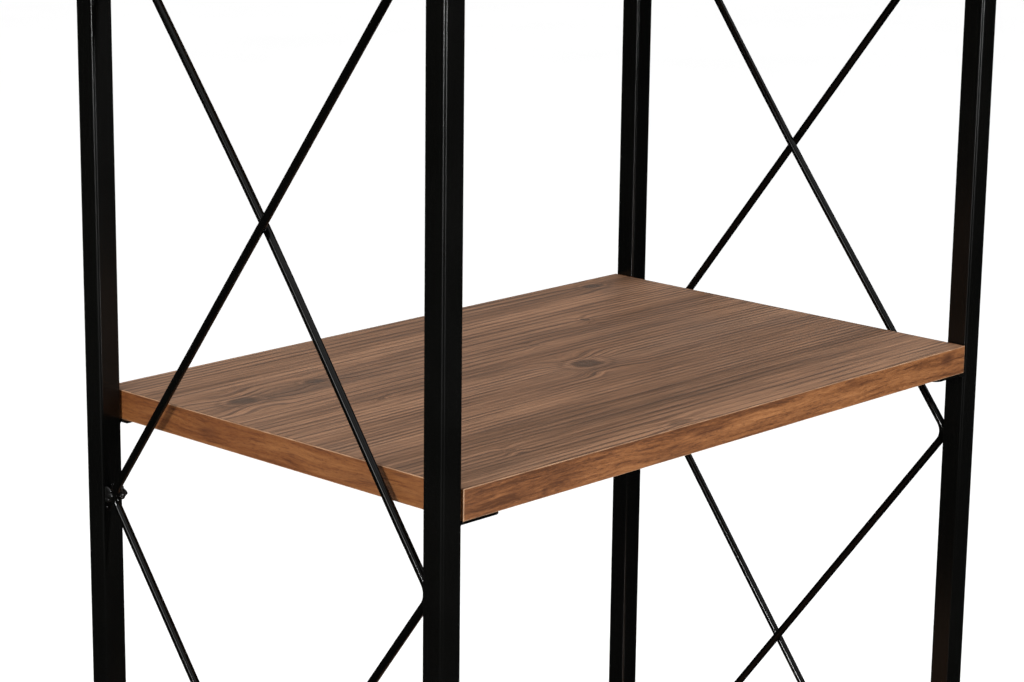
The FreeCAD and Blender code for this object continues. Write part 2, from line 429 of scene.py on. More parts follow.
FRONT_MARKS = [
    (0.210, 0.8035, 0.0075, 0.0040, 0.8),
    (-0.167, 0.7955, 0.0025, 0.0025, 0.55),
    (-0.062, 0.7925, 0.0180, 0.0035, 0.6),
    (-0.030, 0.8035, 0.0160, 0.0030, 0.35),
    (0.120, 0.8050, 0.0250, 0.0025, 0.3),
]
END_MARKS = [
    (-0.056, 0.8000, 0.0130, 0.0060, 0.5),
    (0.080, 0.7990, 0.0300, 0.0030, 0.3),
]


def mark(along, across, spot, unevenness):
    """Distance from a mark's middle, 1 at its outline, and its offset across the grain."""
    spot_along, spot_across, half_length, half_width, _ = spot
    from_along = (along - spot_along) / half_length
    from_across = (across - spot_across) / half_width
    distance = (from_along * from_along + from_across * from_across) ** 0.5
    return distance + unevenness, from_across


def shade_of(along, across, spots, unevenness, inner, outer):
    """Darkest of several marks, 0 to 1, soft between its outer and inner outline."""
    total = None
    for spot in spots:
        distance, _ = mark(along, across, spot, unevenness)
        one = distance.step(outer, inner) * spot[4]
        total = one if total is None else total.math("MAXIMUM", one)
    return total


def laminate(name):
    """Printed wood along X with knots and embossed pores, under a soft sheen."""
    paint = Paint(name)
    place = paint.place()
    along, across, up = paint.axes(place)

    drift = paint.noise(place, (2.5, 8.0, 2.0))
    ripple = paint.noise(place, (32.0, 95.0, 5.0))
    bent = across + (drift - 0.5) * 0.009 + (ripple - 0.5) * 0.0008
    unevenness = ripple - 0.5
    rings = 0.0
    cores = 0.0
    halos = 0.0
    for spot in TOP_KNOTS:
        distance, from_across = mark(along, across, spot, unevenness)
        rings = (distance * 7.0).sine() * distance.step(2.2, 0.8) * spot[4] + rings
        cores = (distance.step(1.0, 0.3) * spot[4]).math("MAXIMUM", cores)
        halos = (distance.step(2.4, 0.7) * spot[4]).math("MAXIMUM", halos)
        bent = bent + from_across * distance.step(3.5, 0.0) * spot[3] * 0.9
    shades = shade_of(along, across, TOP_SHADES, unevenness * 0.8, 0.1, 1.2)

    grain_place = paint.vector(along, bent, up)
    broad = paint.noise(grain_place, (1.6, 22.0, 3.0))
    bands = paint.noise(grain_place, (4.0, 120.0, 3.0), roughness=0.6)
    lines = paint.noise(grain_place, (10.0, 400.0, 3.0), roughness=0.6)
    threads = paint.noise(grain_place, (26.0, 1000.0, 3.0), roughness=0.6)
    pores = paint.noise(grain_place, (170.0, 1300.0, 3.0), roughness=0.6)
    patches = paint.noise(place, (7.0, 12.0, 3.0))
    wander = paint.noise(place, (3.0, 34.0, 3.0))
    breaks = paint.noise(grain_place, (9.0, 90.0, 3.0))
    zone = paint.noise(place, (3.0, 5.0, 3.0), detail=0.0).step(0.52, 0.46)
    close_rows = (bent * CLOSE_ROWS + wander * 6.0).sine().step(-0.2, 0.8)
    wide_rows = (bent * WIDE_ROWS + wander * 6.0).sine().step(0.0, 0.9)
    rows = (close_rows * (1.0 - zone) + wide_rows * zone) * (breaks.step(0.38, 0.54) * 0.65 + 0.35)

    tone = 0.5 + (broad - 0.5) * 0.9 + (bands - 0.5) * 0.30 + (lines - 0.5) * 0.35 + (threads - 0.5) * 0.5
    tone = tone + rings * 0.20 - halos * 0.12 - shades * 0.16
    colour = paint.ramp(tone, WOOD_STOPS)
    colour = paint.mix(patches.step(0.50, 0.72) * 0.25, colour, WOOD_GREY)
    colour = paint.mix(shades * 0.45, colour, WOOD_GREY)
    fine_line = lines.step(0.46, 0.36)
    colour = paint.mix(fine_line * 0.12, colour, WOOD_LINE)
    colour = paint.mix(rows * 0.74, colour, WOOD_LINE)
    colour = paint.mix(threads.step(0.43, 0.33) * 0.30, colour, WOOD_LINE)
    colour = paint.mix(pores.step(0.40, 0.30) * 0.30, colour, WOOD_LINE)
    colour = paint.mix(cores * 0.85, colour, WOOD_KNOT)

    relief = lines * 0.4 + threads * 0.3 + pores * 0.4 - rows * 0.6
    roughness = 0.33 + bands * 0.08 + fine_line * 0.10
    return paint.finish(Base_Color=colour, Roughness=roughness, Normal=paint.bump(relief, 0.00020),
                        Specular_IOR_Level=0.3)


CLOSE_ROWS = 2 * math.pi / 0.0046
WIDE_ROWS = 2 * math.pi / 0.0064
WOOD_STOPS = [
    (0.26, (0.158, 0.082, 0.043)),
    (0.42, (0.258, 0.137, 0.076)),
    (0.58, (0.375, 0.204, 0.116)),
    (0.78, (0.510, 0.286, 0.163)),
]
WOOD_GREY = (0.190, 0.124, 0.086)
WOOD_LINE = (0.075, 0.043, 0.029)
WOOD_KNOT = (0.045, 0.033, 0.025)


def edge_print(name, across_x, marks):
    """Warmer printed grain that runs along an edge band, with flecks and dark eyes."""
    paint = Paint(name)
    place = paint.place(math.pi / 2 if across_x else 0.0)
    along, away, up = paint.axes(place)
    drift = paint.noise(place, (11.0, 3.0, 45.0))
    ripple = paint.noise(place, (60.0, 3.0, 220.0))
    bent = up + (drift - 0.5) * 0.010 + (ripple - 0.5) * 0.0016
    grain_place = paint.vector(along, away, bent)
    flames = paint.noise(grain_place, (9.0, 3.0, 190.0), detail=3.0, roughness=0.6)
    streaks = paint.noise(grain_place, (40.0, 3.0, 620.0), detail=3.0, roughness=0.7)
    flecks = paint.noise(grain_place, (260.0, 3.0, 1500.0), roughness=0.6)
    broad = paint.noise(place, (7.0, 2.0, 60.0))
    dark = shade_of(along, up, marks, (ripple - 0.5) * 1.4, 0.2, 1.3)
    tone = 0.5 + (flames - 0.5) * 0.9 + (streaks - 0.5) * 0.8 + (broad - 0.5) * 0.8 + (flecks - 0.5) * 0.4
    tone = tone - dark * 0.15
    colour = paint.ramp(tone, END_STOPS if across_x else FRONT_STOPS)
    colour = paint.mix(streaks.step(0.43, 0.33) * 0.45, colour, BAND_LINE)
    colour = paint.mix(flecks.step(0.40, 0.30) * 0.40, colour, BAND_LINE)
    colour = paint.mix(dark * 0.65, colour, BAND_LINE)
    relief = streaks + flecks * 0.5
    return paint.finish(Base_Color=colour, Roughness=0.42 + flames * 0.12,
                        Normal=paint.bump(relief, 0.00008), Specular_IOR_Level=0.25)


FRONT_STOPS = [
    (0.25, (0.062, 0.020, 0.0048)),
    (0.42, (0.108, 0.037, 0.0100)),
    (0.58, (0.158, 0.059, 0.0170)),
    (0.80, (0.225, 0.092, 0.0300)),
]
END_STOPS = [
    (0.25, (0.068, 0.020, 0.0044)),
    (0.42, (0.095, 0.030, 0.0071)),
    (0.58, (0.117, 0.041, 0.0104)),
    (0.80, (0.148, 0.057, 0.0158)),
]
BAND_LINE = (0.045, 0.014, 0.005)


def band_arris():
    """The rounded arris where a band is trimmed, painted lighter than the band all round."""
    paint = Paint("band_arris")
    place = paint.place()
    wear = paint.noise(place, (90.0, 90.0, 90.0), detail=3.0)
    colour = paint.ramp(wear, [(0.3, (0.16, 0.085, 0.045)), (0.7, (0.30, 0.175, 0.100))])
    return paint.finish(Base_Color=colour, Roughness=0.4 + wear * 0.15, Specular_IOR_Level=0.3)


FINISHES = {}


def finish_of(name, make):
    if name not in FINISHES:
        FINISHES[name] = make()
    return FINISHES[name]


def tube_coat():
    return finish_of("coat", lambda: powder_coat("satin_powder_coat", 0.21, 0.12, 0.3))


# ---------------------------------------------------------------- settings

class FrameSettings(bpy.types.PropertyGroup):
    tube_corner: FloatProperty(
        name="Tube corner", description="Radius of the square tube's outer corners", default=0.0018,
        min=0.0005, max=0.004, subtype="DISTANCE")
    tube_wall: FloatProperty(
        name="Tube wall", description="Thickness of the tube", default=0.0012, min=0.0008, max=0.003,
        subtype="DISTANCE")
    wire_facets: IntProperty(
        name="Wire facets", description="Sides of the wire's round section", default=28, min=12, max=64)
    left_stand_off: FloatProperty(
        name="Left stand-off", description="Between the left wires' bends and the posts' inner faces",
        default=0.003, min=0, max=0.005, subtype="DISTANCE")
    right_stand_off: FloatProperty(
        name="Right stand-off", description="Between the right wires' bends and the posts' inner faces",
        default=0.0, min=0, max=0.005, subtype="DISTANCE")
    leg_steps: IntProperty(
        name="Leg steps", description="Rings along each straight leg of a wire", default=12, min=2,
        max=48)
    bow: FloatProperty(
        name="Bow", description="How far the inner wires bulge inwards where they pass the outer ones",
        default=0.0035, min=0, max=0.004, subtype="DISTANCE")
    bend_steps: IntProperty(
        name="Bend steps", description="Rings along each bend of a wire", default=14, min=4, max=48)


class WeldSettings(bpy.types.PropertyGroup):
    ripples: IntProperty(
        name="Ripples", description="Ripples in a bead at a node", default=6, min=3, max=12)
    bead_length: FloatProperty(
        name="Bead length", description="Between the middles of the end ripples", default=0.0085,
        min=0.002, max=0.02, subtype="DISTANCE")
    bead_half_width: FloatProperty(
        name="Bead half width", description="Widest reach to each side", default=0.0046, min=0.002,
        max=0.007, subtype="DISTANCE")
    bead_height: FloatProperty(
        name="Bead height", description="Reach from the post's face", default=0.0042, min=0.001,
        max=0.006, subtype="DISTANCE")
    run_width: FloatProperty(
        name="Run width", description="Between the end ripples of a run across a rear post",
        default=0.0104, min=0.002, max=0.012, subtype="DISTANCE")
    run_rise: FloatProperty(
        name="Run rise", description="Between the middles of its three rows of ripples", default=0.0024,
        min=0.001, max=0.005, subtype="DISTANCE")
    run_cover: FloatProperty(
        name="Run cover", description="How far that run stands over the bends it buries", default=0.0010,
        min=0, max=0.003, subtype="DISTANCE")
    seam_ripples: IntProperty(
        name="Seam ripples", description="Ripples in the seam under a tab", default=6, min=3, max=12)
    seam_margin: FloatProperty(
        name="Seam margin", description="From the post's edge to the seam's end", default=0.002, min=0,
        max=0.005, subtype="DISTANCE")
    seam_leg: FloatProperty(
        name="Seam leg", description="Reach of the seam along the post and the tab", default=0.0019,
        min=0.001, max=0.004, subtype="DISTANCE")
    voxel: FloatProperty(
        name="Fineness", description="Size of the grid that melts the ripples together", default=0.0004,
        min=0.0002, max=0.001, subtype="DISTANCE")


class FixingSettings(bpy.types.PropertyGroup):
    tab_length: FloatProperty(
        name="Tab length", description="From the post to the free end", default=0.030, subtype="DISTANCE")
    tab_width: FloatProperty(
        name="Tab width", description="Width of a tab", default=0.020, subtype="DISTANCE")
    tab_corner: FloatProperty(
        name="Tab corner", description="Radius at the free corners", default=0.004, subtype="DISTANCE")
    tab_hole: FloatProperty(
        name="Tab hole", description="Radius of the screw's hole", default=0.00225, subtype="DISTANCE")
    tab_edge: FloatProperty(
        name="Tab edge", description="Softening of a tab's sharp edges", default=0.0002,
        subtype="DISTANCE")
    head_radius: FloatProperty(
        name="Screw head", description="Radius of a screw's head", default=0.004, subtype="DISTANCE")
    head_round: FloatProperty(
        name="Head rounding", description="Rounding of the head's rim", default=0.001, subtype="DISTANCE")
    shank_radius: FloatProperty(
        name="Shank", description="Radius of a screw's shank", default=0.0019, subtype="DISTANCE")
    point_length: FloatProperty(
        name="Point", description="Length of a screw's point", default=0.0025, subtype="DISTANCE")
    recess_length: FloatProperty(
        name="Recess length", description="Length of each bar of the cross", default=0.0042,
        subtype="DISTANCE")
    recess_width: FloatProperty(
        name="Recess width", description="Width of each bar of the cross", default=0.0009,
        subtype="DISTANCE")
    recess_depth: FloatProperty(
        name="Recess depth", description="Depth of the cross", default=0.0013, subtype="DISTANCE")
    plug_gap: FloatProperty(
        name="Plug gap", description="Between a plug and the tube", default=0.0001, subtype="DISTANCE")
    cap_round: FloatProperty(
        name="Cap rounding", description="Rounding of a cap's upper edge", default=0.0008,
        subtype="DISTANCE")
    bore_gap: FloatProperty(
        name="Bore gap", description="Between a foot's stud and its bore", default=0.00005,
        subtype="DISTANCE")
    thread_pitch: FloatProperty(
        name="Thread pitch", description="Pitch of the stud's thread", default=0.001, subtype="DISTANCE")
    thread_depth: FloatProperty(
        name="Thread depth", description="Depth of the stud's thread", default=0.0006, subtype="DISTANCE")
    pad_chamfer: FloatProperty(
        name="Pad chamfer", description="Chamfer at the pad's lower edge", default=0.0006,
        subtype="DISTANCE")
    pad_neck: FloatProperty(
        name="Pad neck", description="Radius of the pad's neck", default=0.006, subtype="DISTANCE")


class StageSettings(bpy.types.PropertyGroup):
    lens: FloatProperty(
        name="Lens", description="Focal length on a 36 mm wide sensor", default=97.3, min=20, max=200)
    azimuth: FloatProperty(
        name="Azimuth", description="Camera's direction about Z; 0 looks along +Y",
        default=math.radians(-46.61), subtype="ANGLE")
    elevation: FloatProperty(
        name="Elevation", description="Camera's height angle", default=math.radians(13.66),
        subtype="ANGLE")
    roll: FloatProperty(
        name="Roll", description="Camera's turn about its own axis", default=math.radians(0.71),
        subtype="ANGLE")
    place: FloatVectorProperty(
        name="Place", description="Camera's place from the middle of the middle board's top",
        default=(-1.228, -1.127, 0.420), subtype="TRANSLATION")
    sky: FloatProperty(
        name="Sky", description="Strength of the light from above", default=1.55, min=0)
    horizon: FloatProperty(
        name="Horizon", description="Strength of the light from level directions", default=0.03, min=0)
    sky_start: FloatProperty(
        name="Sky start", description="Sine of the height angle where the sky starts", default=0.35)
    sky_full: FloatProperty(
        name="Sky full", description="Sine of the height angle where the sky is full", default=0.75)
    left_azimuth: FloatProperty(
        name="Left strip", description="Direction of the left strip lamp about Z",
        default=math.radians(-80), subtype="ANGLE")
    right_azimuth: FloatProperty(
        name="Right strip", description="Direction of the right strip lamp about Z",
        default=math.radians(5), subtype="ANGLE")
    strip_distance: FloatProperty(
        name="Strip distance", description="From the bookcase to each strip lamp", default=2.6,
        subtype="DISTANCE")
    strip_bottom: FloatProperty(
        name="Strip bottom", description="Height of each strip's lower end", default=0.85,
        subtype="DISTANCE")
    strip_height: FloatProperty(
        name="Strip height", description="Height of each strip lamp", default=0.5, subtype="DISTANCE")
    strip_width: FloatProperty(
        name="Strip width", description="Width of each strip lamp", default=0.16, subtype="DISTANCE")
    backdrop_height: FloatProperty(
        name="Backdrop height", description="Height of the pale ring at the floor's edge", default=30.0,
        min=1, subtype="DISTANCE")
    panel_azimuth: FloatProperty(
        name="Panel azimuth", description="Direction of the side panel, from the front",
        default=math.radians(-87), subtype="ANGLE")
    panel_bottom: FloatProperty(
        name="Panel bottom", description="Height of the panel's lower edge", default=1.30,
        subtype="DISTANCE")
    panel_height: FloatProperty(
        name="Panel height", description="Height of the panel", default=0.60, subtype="DISTANCE")
    panel_width: FloatProperty(
        name="Panel width", description="Width of the panel", default=0.70, subtype="DISTANCE")
    panel_power: FloatProperty(
        name="Panel power", description="Power of the panel in watts", default=14.0, min=0)
    strip_power: FloatProperty(
        name="Strip power", description="Power of each strip lamp", default=60.0, subtype="POWER")
    floor_size: FloatProperty(
        name="Floor", description="Width of the floor", default=80.0, min=5, subtype="DISTANCE")


# ---------------------------------------------------------------- the frame's pieces

class BOOKCASE_OT_posts(bpy.types.Operator):
    """Build the four square-tube posts"""
    bl_idname = "bookcase.posts"
    bl_label = "Posts"

    def execute(self, context):
        sizes = context.scene.bookcase_frame
        coat = tube_coat()
        for end, side in CORNERS:
            node = "post_%s_%s" % (end, side)
            low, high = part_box(node)
            post = add_block("tube_%s_%s" % (end, side), low, high)
            start_editing(post)
            pick_faces(post, lambda centre, normal: abs(normal.z) > 0.9)
            bpy.ops.mesh.inset(thickness=sizes.tube_wall, use_individual=True)
            bpy.ops.mesh.delete(type="ONLY_FACE")
            middle = (low + high) / 2
            reach = (high.x - low.x) / 2 - sizes.tube_wall * 0.5
            pick_edges(post, lambda a, b: not is_upright(a, b) and all(
                max(abs(v.x - middle.x), abs(v.y - middle.y)) < reach for v in (a, b)))
            bpy.ops.mesh.bridge_edge_loops()
            pick_edges(post, lambda a, b: is_upright(a, b) and abs(a.x - middle.x) > reach)
            bpy.ops.mesh.bevel(offset=sizes.tube_corner, segments=6, affect="EDGES")
            stop_editing()
            shade(post)
            hand_over(post, MAIN_BODY, "powder_coat", [coat], node)
        return {"FINISHED"}


class BOOKCASE_OT_wires(bpy.types.Operator):
    """Build the bent wires of the two side frames"""
    bl_idname = "bookcase.wires"
    bl_label = "Wires"

    def execute(self, context):
        sizes = context.scene.bookcase_frame
        coat = finish_of("wire_coat", lambda: powder_coat("wire_powder_coat", 0.13, 0.06, 0.15))
        face_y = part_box("post_rear_left")[0].y
        weld_heights = wire_node_heights()
        for side in ("left", "right"):
            for layer in ("outer", "inner"):
                node = "brace_wire_%s_%s" % (side, layer)
                low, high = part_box(node)
                radius = (high.x - low.x) / 2
                first_end = 1 if layer == "outer" else -1
                turn_y = face_y - stand_off_of(side, sizes)
                wire = bent_wire("wire_%s_%s" % (side, layer), (low.x + high.x) / 2, radius, face_y,
                                 turn_y, weld_heights, first_end, sizes)
                hand_over(wire, MAIN_BODY, "powder_coat", [coat], node)
        return {"FINISHED"}


def wire_node_heights():
    """Heights at which the wires meet the posts, one below each board."""
    low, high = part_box("brace_wire_left_outer")
    tops = [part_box(shelf + "_board")[1].z for shelf in SHELVES]
    below = (tops[0] + tops[-1]) / 2 - (low.z + high.z) / 2
    return [top - below for top in tops]


def stand_off_of(side, sizes):
    """How far a side frame's wires turn short of the posts' inner faces."""
    return sizes.left_stand_off if side == "left" else sizes.right_stand_off


def bow_leg(wire, low, high, amount):
    """Bulges a straight leg sideways, most at its middle ring."""
    middle = (low + high) / 2
    along = (high - low).normalized()
    reach = (high - low).length / 2
    half_slice = 1e-4
    bpy.ops.mesh.select_mode(type="VERT")
    mesh = bmesh.from_edit_mesh(wire.data)
    for vert in mesh.verts:
        from_middle = vert.co - middle
        vert.select_set(abs(from_middle.dot(along)) < half_slice and from_middle.length < reach / 4)
    mesh.select_flush_mode()
    bmesh.update_edit_mesh(wire.data)
    bpy.ops.transform.translate(value=(amount, 0, 0), use_proportional_edit=True, proportional_size=reach,
                                proportional_edit_falloff="SMOOTH", use_proportional_connected=True)


# How far the outside of a bend stays short of the plane that its legs' middle lines meet in
WELD_GAP = 0.0003


def bent_wire(name, x, radius, face_y, turn_y, heights, first_end, sizes):
    """A round section pushed along straight legs and spun round each bend.

    The legs' middle lines meet at turn_y, and the ends are cut flush with the posts' inner faces.
    """
    pitch = heights[1] - heights[0]
    angle = math.atan2(pitch, 2 * turn_y)
    bend_radius = (radius + WELD_GAP) / (1 / math.sin(angle) - 1)
    tangent = bend_radius / math.tan(angle)
    turns = [Vector((x, first_end * (-1) ** i * turn_y, z)) for i, z in enumerate(heights)]
    run_out = 5 * radius
    leg = (turns[1] - turns[0]).normalized()
    start = turns[0] - leg * run_out
    turn_to_leg = leg.to_track_quat("Z", "Y").to_euler()
    wire = add_start(name, bpy.ops.mesh.primitive_circle_add, vertices=sizes.wire_facets, radius=radius,
                     fill_type="NGON", location=start, rotation=turn_to_leg)
    settle(wire)
    start_editing(wire)
    select_all()
    extrude(turns[0] - start)
    here = turns[0]
    for i in range(1, len(turns) - 1):
        before = (turns[i] - turns[i - 1]).normalized()
        after = (turns[i + 1] - turns[i]).normalized()
        bend_start = turns[i] - before * tangent
        extrude_in_steps(bend_start - here, sizes.leg_steps)
        side = math.copysign(1.0, turns[i].y)
        centre = turns[i] + Vector((0, -side * bend_radius / math.sin(angle), 0))
        swing = math.pi - 2 * angle
        axis = after.cross(before).normalized()
        bpy.ops.mesh.spin(steps=sizes.bend_steps, angle=swing, center=centre, axis=axis,
                          use_normal_flip=False)
        here = turns[i] + after * tangent
    last_leg = (turns[-1] - turns[-2]).normalized()
    extrude_in_steps(turns[-1] - here, sizes.leg_steps)
    extrude(last_leg * run_out)
    for end in (-1, 1):
        select_all()
        bpy.ops.mesh.bisect(plane_co=(x, end * face_y, 0), plane_no=(0, end, 0), clear_outer=True,
                            use_fill=True)
    select_all()
    bpy.ops.mesh.remove_doubles(threshold=TOLERANCE)
    face_outwards()
    if first_end < 0:
        for low, high in zip(turns[0::2], turns[1::2]):
            bow_leg(wire, low, high, -math.copysign(sizes.bow, x))
    stop_editing()
    shade(wire, weighted=False)
    return wire


# How far the print moves from one board to the next
PRINT_SHIFT = Vector((-0.19, 0.045, 0.0))
# Radius to which an edge band is trimmed, and its finish's place among a band's materials
BAND_TRIM = 0.0005
ARRIS_INDEX = 2


class BOOKCASE_OT_boards(bpy.types.Operator):
    """Paint the boards and build their edge bands"""
    bl_idname = "bookcase.boards"
    bl_label = "Boards"

    def execute(self, context):
        """Each board shows another stretch of one long print, and every other board is turned round."""
        first = laminate("laminate")
        for i, shelf in enumerate(SHELVES):
            from_middle = i - len(SHELVES) // 2
            top = first.copy()
            top.name = "laminate_" + shelf
            placement = top.node_tree.nodes["placement"]
            placement.inputs["Rotation"].default_value = (0.0, 0.0, math.pi * (i % 2))
            placement.inputs["Location"].default_value = PRINT_SHIFT * from_middle
            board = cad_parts[shelf + "_board"]
            board.data.materials.clear()
            board.data.materials.append(top)
            self.add_bands(shelf)
        bpy.data.materials.remove(first)
        return {"FINISHED"}

    def add_bands(self, shelf):
        core_low, core_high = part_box(shelf + "_board")
        low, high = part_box(shelf + "_edge_bands")
        long_print = finish_of("long_print", lambda: edge_print("long_edge_print", False, FRONT_MARKS))
        short_print = finish_of("short_print", lambda: edge_print("short_edge_print", True, END_MARKS))
        prints = (long_print, short_print, finish_of("arris", band_arris))
        strips = [
            ("front", (low.x, low.y, low.z), (high.x, core_low.y, high.z), low.y),
            ("rear", (low.x, core_high.y, low.z), (high.x, high.y, high.z), high.y),
            ("left", (low.x, core_low.y, low.z), (core_low.x, core_high.y, high.z), low.x),
            ("right", (core_high.x, core_low.y, low.z), (high.x, core_high.y, high.z), high.x),
        ]
        pieces = []
        for edge, near, far, face in strips:
            is_long = edge in ("front", "rear")
            axis = 1 if is_long else 0
            strip = add_block("%s_%s_band" % (shelf, edge), near, far)
            for material in prints:
                strip.data.materials.append(material)
            start_editing(strip)
            pick_edges(strip, lambda a, b: (is_long or not is_upright(a, b)) and all(
                abs(v[axis] - face) < TOLERANCE for v in (a, b)))
            bpy.ops.mesh.bevel(offset=BAND_TRIM, segments=3, affect="EDGES", material=ARRIS_INDEX)
            pick_faces(strip, lambda centre, normal: abs(normal[axis]) > 0.999)
            strip.active_material_index = 0 if is_long else 1
            bpy.ops.object.material_slot_assign()
            stop_editing()
            pieces.append(strip)
        bands = join("bands_" + shelf, pieces)
        shade(bands)
        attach(bands, MAIN_BODY)
        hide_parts(shelf + "_edge_bands")


class BOOKCASE_OT_welds(bpy.types.Operator):
    """Build the weld beads at the wires' nodes and under the tabs"""
    bl_idname = "bookcase.welds"
    bl_label = "Welds"

    def execute(self, context):
        sizes = context.scene.bookcase_welds
        finish = finish_of("weld", weld_finish)
        face_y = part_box("post_rear_left")[0].y
        heights = wire_node_heights()
        tab_heights = [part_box(shelf + "_tabs")[0].z for shelf in SHELVES]
        wire_low, wire_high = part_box("brace_wire_left_outer")
        for side, sign in (("left", -1), ("right", 1)):
            stand_off = stand_off_of(side, context.scene.bookcase_frame)
            run_reach = wire_high.x - wire_low.x + stand_off + sizes.run_cover
            post_low, post_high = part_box("post_rear_" + side)
            middle = (post_low.x + post_high.x) / 2
            ends = []
            for bead in (wide_bead(sizes, middle, face_y, heights[0], run_reach),
                         slim_bead(sizes, middle, face_y, heights[0])):
                seam = tab_seam(sizes, side, sign)
                pieces = [bead, seam]
                for height, tab_height in zip(heights[1:], tab_heights[1:]):
                    pieces.append(copy_piece(bead, "bead", (0, 0, height - heights[0])))
                    pieces.append(copy_piece(seam, "seam", (0, 0, tab_height - tab_heights[0])))
                ends.append(join("end_welds", pieces))
            rear, front = ends
            mirror(front, False, True)
            welds = join("weld_beads_" + side, [rear, front])
            shade(welds, angle=75.0, weighted=False)
            hand_over(welds, MAIN_BODY, "powder_coat", [finish], "welds_" + side)
        return {"FINISHED"}


def melt(piece, voxel, near, far):
    """Runs overlapping lumps together and trims them to a block."""
    apply_modifier(piece, "REMESH", mode="VOXEL", voxel_size=voxel)
    apply_modifier(piece, "SMOOTH", factor=0.6, iterations=2)
    low = [min(a, b) for a, b in zip(near, far)]
    high = [max(a, b) for a, b in zip(near, far)]
    cut_with(piece, add_block("trim", low, high), "INTERSECT")


def add_lump(place, reach):
    """One squashed ball of weld metal."""
    lump = add_start("lump", bpy.ops.mesh.primitive_ico_sphere_add, subdivisions=3, radius=1.0,
                     location=place, scale=reach)
    settle(lump)
    return lump


# Reach of a ripple along its bead, as a share of the step from one ripple to the next
SLIM_REACH = 0.95
RUN_REACH = 0.85
SEAM_REACH = 0.85
# Place across the post, place below the node and radius of each drop of spatter
SPATTER = [
    (-0.0046, 0.0078, 0.0008),
    (0.0031, 0.0085, 0.0007),
    (0.0049, -0.0076, 0.0008),
]


def slim_bead(sizes, x, face_y, height):
    """Ripples of weld up a post's inner face, behind the wire that meets it."""
    lumps = []
    steps = sizes.ripples
    for i in range(steps):
        along = i / (steps - 1) - 0.5
        fall = 1 - 0.5 * abs(along) ** 2
        sway = 0.0004 * math.sin(2.3 * i)
        place = (x + sway, face_y, height + along * sizes.bead_length)
        lumps.append(add_lump(place, (sizes.bead_half_width * fall, sizes.bead_height * fall,
                                      sizes.bead_length / steps * SLIM_REACH)))
    bead = join("bead", lumps)
    trim_bead(bead, sizes, x, face_y, height)
    return bead


def wide_bead(sizes, x, face_y, height, run_reach):
    """A rough run across a post's inner face that buries both bends, with spatter round it."""
    lumps = []
    steps = sizes.ripples + 2
    for i in range(steps):
        along = i / (steps - 1) - 0.5
        for row in (-1, 0, 1):
            wave = math.sin(2.1 * i + 1.7 * row)
            fall = 1 - 1.1 * abs(along) ** 2 - 0.25 * abs(row) + 0.10 * wave
            place = (x + along * sizes.run_width, face_y,
                     height + row * sizes.run_rise + 0.0005 * math.sin(1.9 * i + row))
            lumps.append(add_lump(place, (sizes.run_width / steps * RUN_REACH, run_reach * fall,
                                          sizes.run_rise * (0.95 + 0.2 * wave))))
    for across, down, reach in SPATTER:
        lumps.append(add_lump((x + across, face_y, height - down), (reach, reach, reach)))
    bead = join("bead", lumps)
    trim_bead(bead, sizes, x, face_y, height)
    return bead


def trim_bead(bead, sizes, x, face_y, height):
    """Melts a bead and leaves what stands on the inner side of the post's face."""
    room = sizes.bead_length * 2
    melt(bead, sizes.voxel, (x - room, face_y, height - room), (x + room, face_y - room, height + room))


def tab_seam(sizes, side, sign):
    """Ripples of weld in the angle between a tab's underside and the post."""
    post_low, post_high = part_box("post_rear_" + side)
    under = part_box(SHELVES[0] + "_tabs")[0].z
    face_x = post_low.x if sign > 0 else post_high.x
    lumps = []
    run = post_high.y - post_low.y - 2 * sizes.seam_margin
    steps = sizes.seam_ripples
    for i in range(steps):
        y = post_low.y + sizes.seam_margin + run * (i + 0.5) / steps
        swell = 1 + 0.12 * math.sin(1.7 * i)
        reach = sizes.seam_leg * swell
        lumps.append(add_lump((face_x, y, under), (reach, run / steps * SEAM_REACH, reach)))
    seam = join("seam", lumps)
    room = sizes.seam_leg * 3
    melt(seam, sizes.voxel, (face_x, post_low.y - room, under),
         (face_x - sign * room, post_high.y + room, under - room))
    return seam


class BOOKCASE_OT_tabs(bpy.types.Operator):
    """Build the plates that carry the boards, with their screws"""
    bl_idname = "bookcase.tabs"
    bl_label = "Tabs and screws"

    def execute(self, context):
        sizes = context.scene.bookcase_fixings
        coat = tube_coat()
        zinc = finish_of("zinc", zinc_plate)
        for shelf in SHELVES:
            low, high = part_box(shelf + "_tabs")
            screw_low, screw_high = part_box(shelf + "_screws")
            screw_x = screw_high.x - sizes.head_radius
            screw_y = screw_high.y - sizes.head_radius
            tab = make_tab(sizes, high, low.z, screw_x, screw_y)
            screw = make_screw(sizes, screw_x, screw_y, screw_low.z, low.z, screw_high.z)
            tabs = join("tabs_" + shelf, at_four_corners(tab))
            screws = join("screws_" + shelf, at_four_corners(screw))
            shade(tabs)
            shade(screws)
            hand_over(tabs, MAIN_BODY, "powder_coat", [coat], shelf + "_tabs")
            hand_over(screws, MAIN_BODY, "plated_steel", [zinc], shelf + "_screws")
        return {"FINISHED"}


def at_four_corners(piece):
    """The piece and its mirror images across X, Y and both."""
    copies = [piece]
    for flip_x, flip_y in ((True, False), (False, True), (True, True)):
        copy = copy_piece(piece, "copy", (0, 0, 0))
        mirror(copy, flip_x, flip_y)
        copies.append(copy)
    return copies


